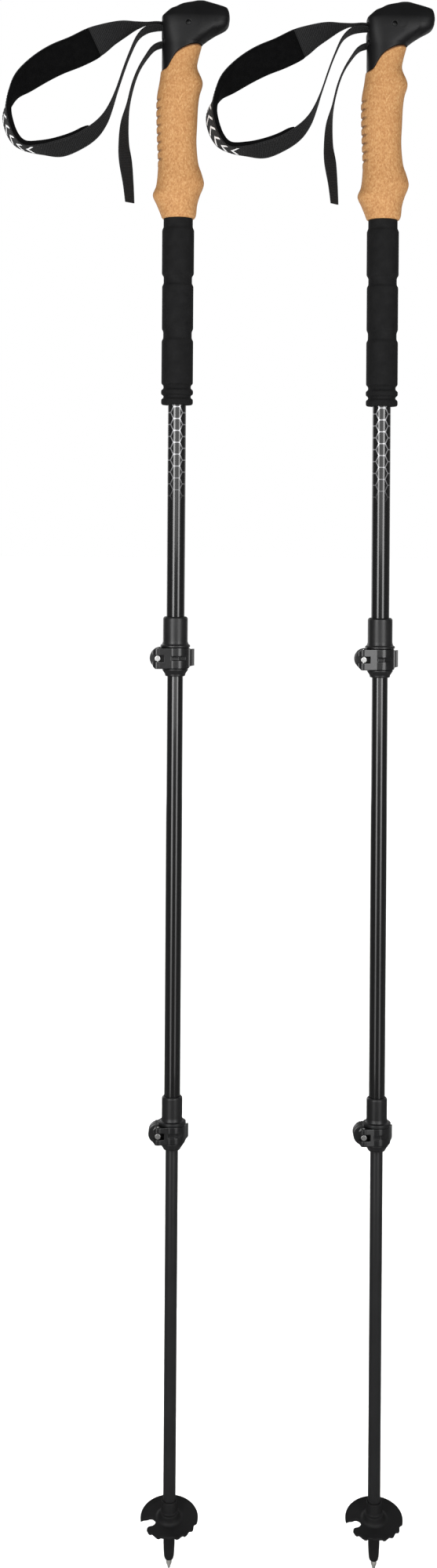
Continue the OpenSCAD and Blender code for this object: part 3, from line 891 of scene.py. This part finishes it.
def pad():
    """Lining of the loop."""
    route = Route(PAD_FIRST, PAD_LAST, 0.8)
    for obj in place("pad", ribbon("pad", route, pad_section), FLEECE, "handle", ["strap_pad"]):
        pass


def stitches(name, first, last, offset, lift, pitch=2.6, length=1.7):
    """Rows of small thread stitches along the strap between two stations, offset mm in from each edge."""
    step = 0.2
    sides = 6
    half_wide = 0.2
    half_high = 0.16
    verts = []
    faces = []
    rows = list(Route(first, last, step).frames())
    per = pitch / step
    for n in range(int(len(rows) / per) - 1):
        ends = rows[int(n * per)], rows[int(n * per + length / step)]
        for sign in (-1, 1):
            start = len(verts)
            for _, mid, edge, face, width in ends:
                point = mid + edge * sign * (width / 2 - offset) + face * lift
                for k in range(sides):
                    a = 2 * math.pi * k / sides
                    verts.append(point + edge * half_wide * math.cos(a) + face * half_high * math.sin(a))
            faces += [tuple(start + i for i in quad) for quad in grid_faces(2, sides)]
            faces.append(tuple(range(start, start + sides)))
            faces.append(tuple(range(start + 2 * sides - 1, start + sides - 1, -1)))
    place(name, make(name, verts, faces), STITCH, "handle")


def white_chevrons():
    """A plain printed row of white chevrons on the loop's outer face. Lengths along it are in rows."""
    verts = []
    faces = []
    rows = list(Route(13, 18, 0.25).frames())
    steps = 8
    across = 12
    stroke = 9
    lean = 20
    spacing = 38
    half_row = 0.38   # as a share of the tape's width
    lift = TAPE_T / 2 + 0.09
    for start in range(4, len(rows) - stroke - lean, spacing):
        base = len(verts)
        for i in range(steps + 1):
            for j in range(across + 1):
                v = 2 * j / across - 1
                _, mid, edge, face, width = rows[start + round(stroke * i / steps + lean * abs(v))]
                verts.append(mid + edge * (half_row * v * width) + face * lift)
        for i in range(steps):
            for j in range(across):
                a = base + i * (across + 1) + j
                faces.append((a, a + 1, a + across + 2, a + across + 1))
    place("strap_chevrons", make("chevrons", verts, faces), WHITE_PRINT, "handle")


# ---------------------------------------------------------------- CAD nodes kept with finer edges

def keep(node, material, voxel=None, relax=0):
    """Keeps a CAD node at both poles, with its edges softened and its material set."""
    for side in SIDES:
        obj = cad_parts[f"{side}_{node}"]
        obj.data.materials.clear()
        obj.data.materials.append(material)
        soften(obj, voxel, relax)


def clamps():
    """Both clamps of each pole."""
    for which in ("upper", "lower"):
        keep(f"{which}_collar", CLAMP, 0.38, 3)
        keep(f"{which}_lever", LEVER, 0.3, 5)
        keep(f"{which}_tension_nut", CLAMP, 0.2, 2)
        keep(f"{which}_tension_bolt", STEEL, 0.16, 2)
        keep(f"{which}_lever_pin", STEEL, 0.12, 2)


# ---------------------------------------------------------------- stage, light and camera

def stage():
    """Wide pale floor just under the tips. Glossy surfaces don't mirror it, so the baskets stay dark."""
    reach = 40000
    verts = [(x, y, -0.3) for x, y in ((-reach, -reach), (reach, -reach), (reach, reach), (-reach, reach))]
    mesh = make("floor", verts, [(0, 1, 2, 3)], 60)
    n = Nodes("studio_paper")
    tone = n.noise(2, 2)
    n.colour(n.ramp(tone, [(0.3, (0.86, 0.86, 0.86)), (0.7, (0.88, 0.88, 0.88))]))
    n.set(Roughness=0.9, Specular_IOR_Level=0.1)
    mesh.materials.append(n.material)
    floor = add_object("floor", mesh)
    floor.visible_glossy = False
    return floor


def add_light(name, light, place_at, aim_at):
    """Puts a light at one point, turned to shine at another."""
    obj = add_object(name, light)
    obj.location = place_at
    obj.rotation_euler = (Vector(aim_at) - Vector(place_at)).to_track_quat("-Z", "Y").to_euler()
    return obj


DIMMEST = 0.15   # a fading box's strength at its foot, as a share of its strength at the top
AMBIENT = 0.17   # strength of the world as a light; the camera sees it as plain white


def softbox(name, place_at, aim_at, wide, tall, radiance, spread=180, fade=False):
    """Rectangular area light whose middle shines at the given radiance, 1 being paper white.

    A spread below 180 degrees is a grid on the box, and fade dims it towards its foot."""
    light = bpy.data.lights.new(name, "AREA")
    light.shape = "RECTANGLE"
    light.size = wide
    light.size_y = tall
    light.energy = radiance * wide * tall * math.pi
    if spread < 180:
        half = math.radians(spread) / 2
        light.spread = 2 * half
        light.energy *= 1 - half / math.tan(half)
    if fade:
        light.use_nodes = True
        nodes = light.node_tree.nodes
        links = light.node_tree.links
        spot = nodes.new("ShaderNodeNewGeometry")
        axes = nodes.new("ShaderNodeSeparateXYZ")
        level = nodes.new("ShaderNodeMath")
        level.operation = "MAXIMUM"
        level.inputs[1].default_value = DIMMEST
        links.new(spot.outputs["Parametric"], axes.inputs[0])
        links.new(axes.outputs["Y"], level.inputs[0])
        links.new(level.outputs[0], nodes["Emission"].inputs["Strength"])
    add_light(name, light, place_at, aim_at).visible_camera = False


def white_floor_light(floor):
    """Very soft light from straight above that falls on the floor alone and keeps it paper white."""
    light = bpy.data.lights.new("floor_light", "SUN")
    light.energy = 3.5
    light.angle = math.radians(150)
    obj = add_light("floor_light", light, (0, 0, 3), (0, 0, 0))
    lit = bpy.data.collections.new("floor_only")
    lit.objects.link(floor)
    obj.light_linking.receiver_collection = lit


def lighting(floor):
    """Two tall strips in front draw the tubes' highlights. The boxes behind are for the back's shape."""
    world = bpy.data.worlds.new("studio")
    bpy.context.scene.world = world
    world.use_nodes = True
    nodes = world.node_tree.nodes
    nodes["Background"].inputs["Color"].default_value = (1, 1, 1, 1)
    seen = nodes.new("ShaderNodeLightPath")
    level = nodes.new("ShaderNodeMath")
    level.operation = "MULTIPLY_ADD"
    level.inputs[1].default_value = 1 - AMBIENT
    level.inputs[2].default_value = AMBIENT
    world.node_tree.links.new(seen.outputs["Is Camera Ray"], level.inputs[0])
    world.node_tree.links.new(level.outputs[0], nodes["Background"].inputs["Strength"])
    x = CENTRE_X
    softbox("strip_left", (x - 0.52, -0.8, 0.77), (x, 0, 0.77), 0.32, 1.5, 12.5, fade=True)
    softbox("strip_right", (x + 0.52, -0.8, 0.77), (x, 0, 0.77), 0.32, 1.5, 10.5, fade=True)
    softbox("back_left", (x - 1.3, 2, 1.2), (x, 0, 0.8), 1.4, 1.8, 1.5)
    softbox("back_right", (x + 1.3, 2, 1.2), (x, 0, 0.8), 1, 1.8, 0.8)
    softbox("front", (x, -2.3, 1.25), (x, 0, 0.9), 2.2, 1.3, 1.6, spread=90)
    white_floor_light(floor)


CAMERA_LEFT = 0.0525    # metres left of the poles' middle, in front of them and above the ground
CAMERA_BACK = 1.715
CAMERA_HEIGHT = 0.921
CAMERA_TILT = -0.4      # degrees about the line of sight


def camera():
    """Level camera above half height, so near that heads show from below and baskets from above."""
    data = bpy.data.cameras.new("camera")
    data.lens = 45
    data.sensor_width = 36
    data.shift_y = -0.1715
    obj = add_object("camera", data)
    obj.location = (CENTRE_X - CAMERA_LEFT, -CAMERA_BACK, CAMERA_HEIGHT)
    obj.rotation_euler = (math.pi / 2, math.radians(CAMERA_TILT), 0)
    bpy.context.scene.camera = obj


# ---------------------------------------------------------------- build

camera()
lighting(stage())
shaft("upper_shaft", PRINTED_TUBE, "handle")
shaft("middle_shaft", GLOSS_TUBE, "middle")
shaft("lower_shaft", MATTE_TUBE, "lower")
foam_grip()
cork_grip()
grip_head()
strap()
pad()
stitches("pad_stitches", PAD_FIRST, PAD_LAST, 2.0, TAPE_T / 2 + 0.02)
white_chevrons()
ferrule()
tip()
clamps()
keep("basket", BASKET, 0.4, 3)
keep("strap_wedge", HEAD, 0.3, 2)
keep("strap_pin", PIN, 0.2, 6)
keep("middle_guide_plug", GUIDE)
keep("lower_guide_plug", GUIDE)

bpy.context.scene.view_settings.view_transform = "Standard"
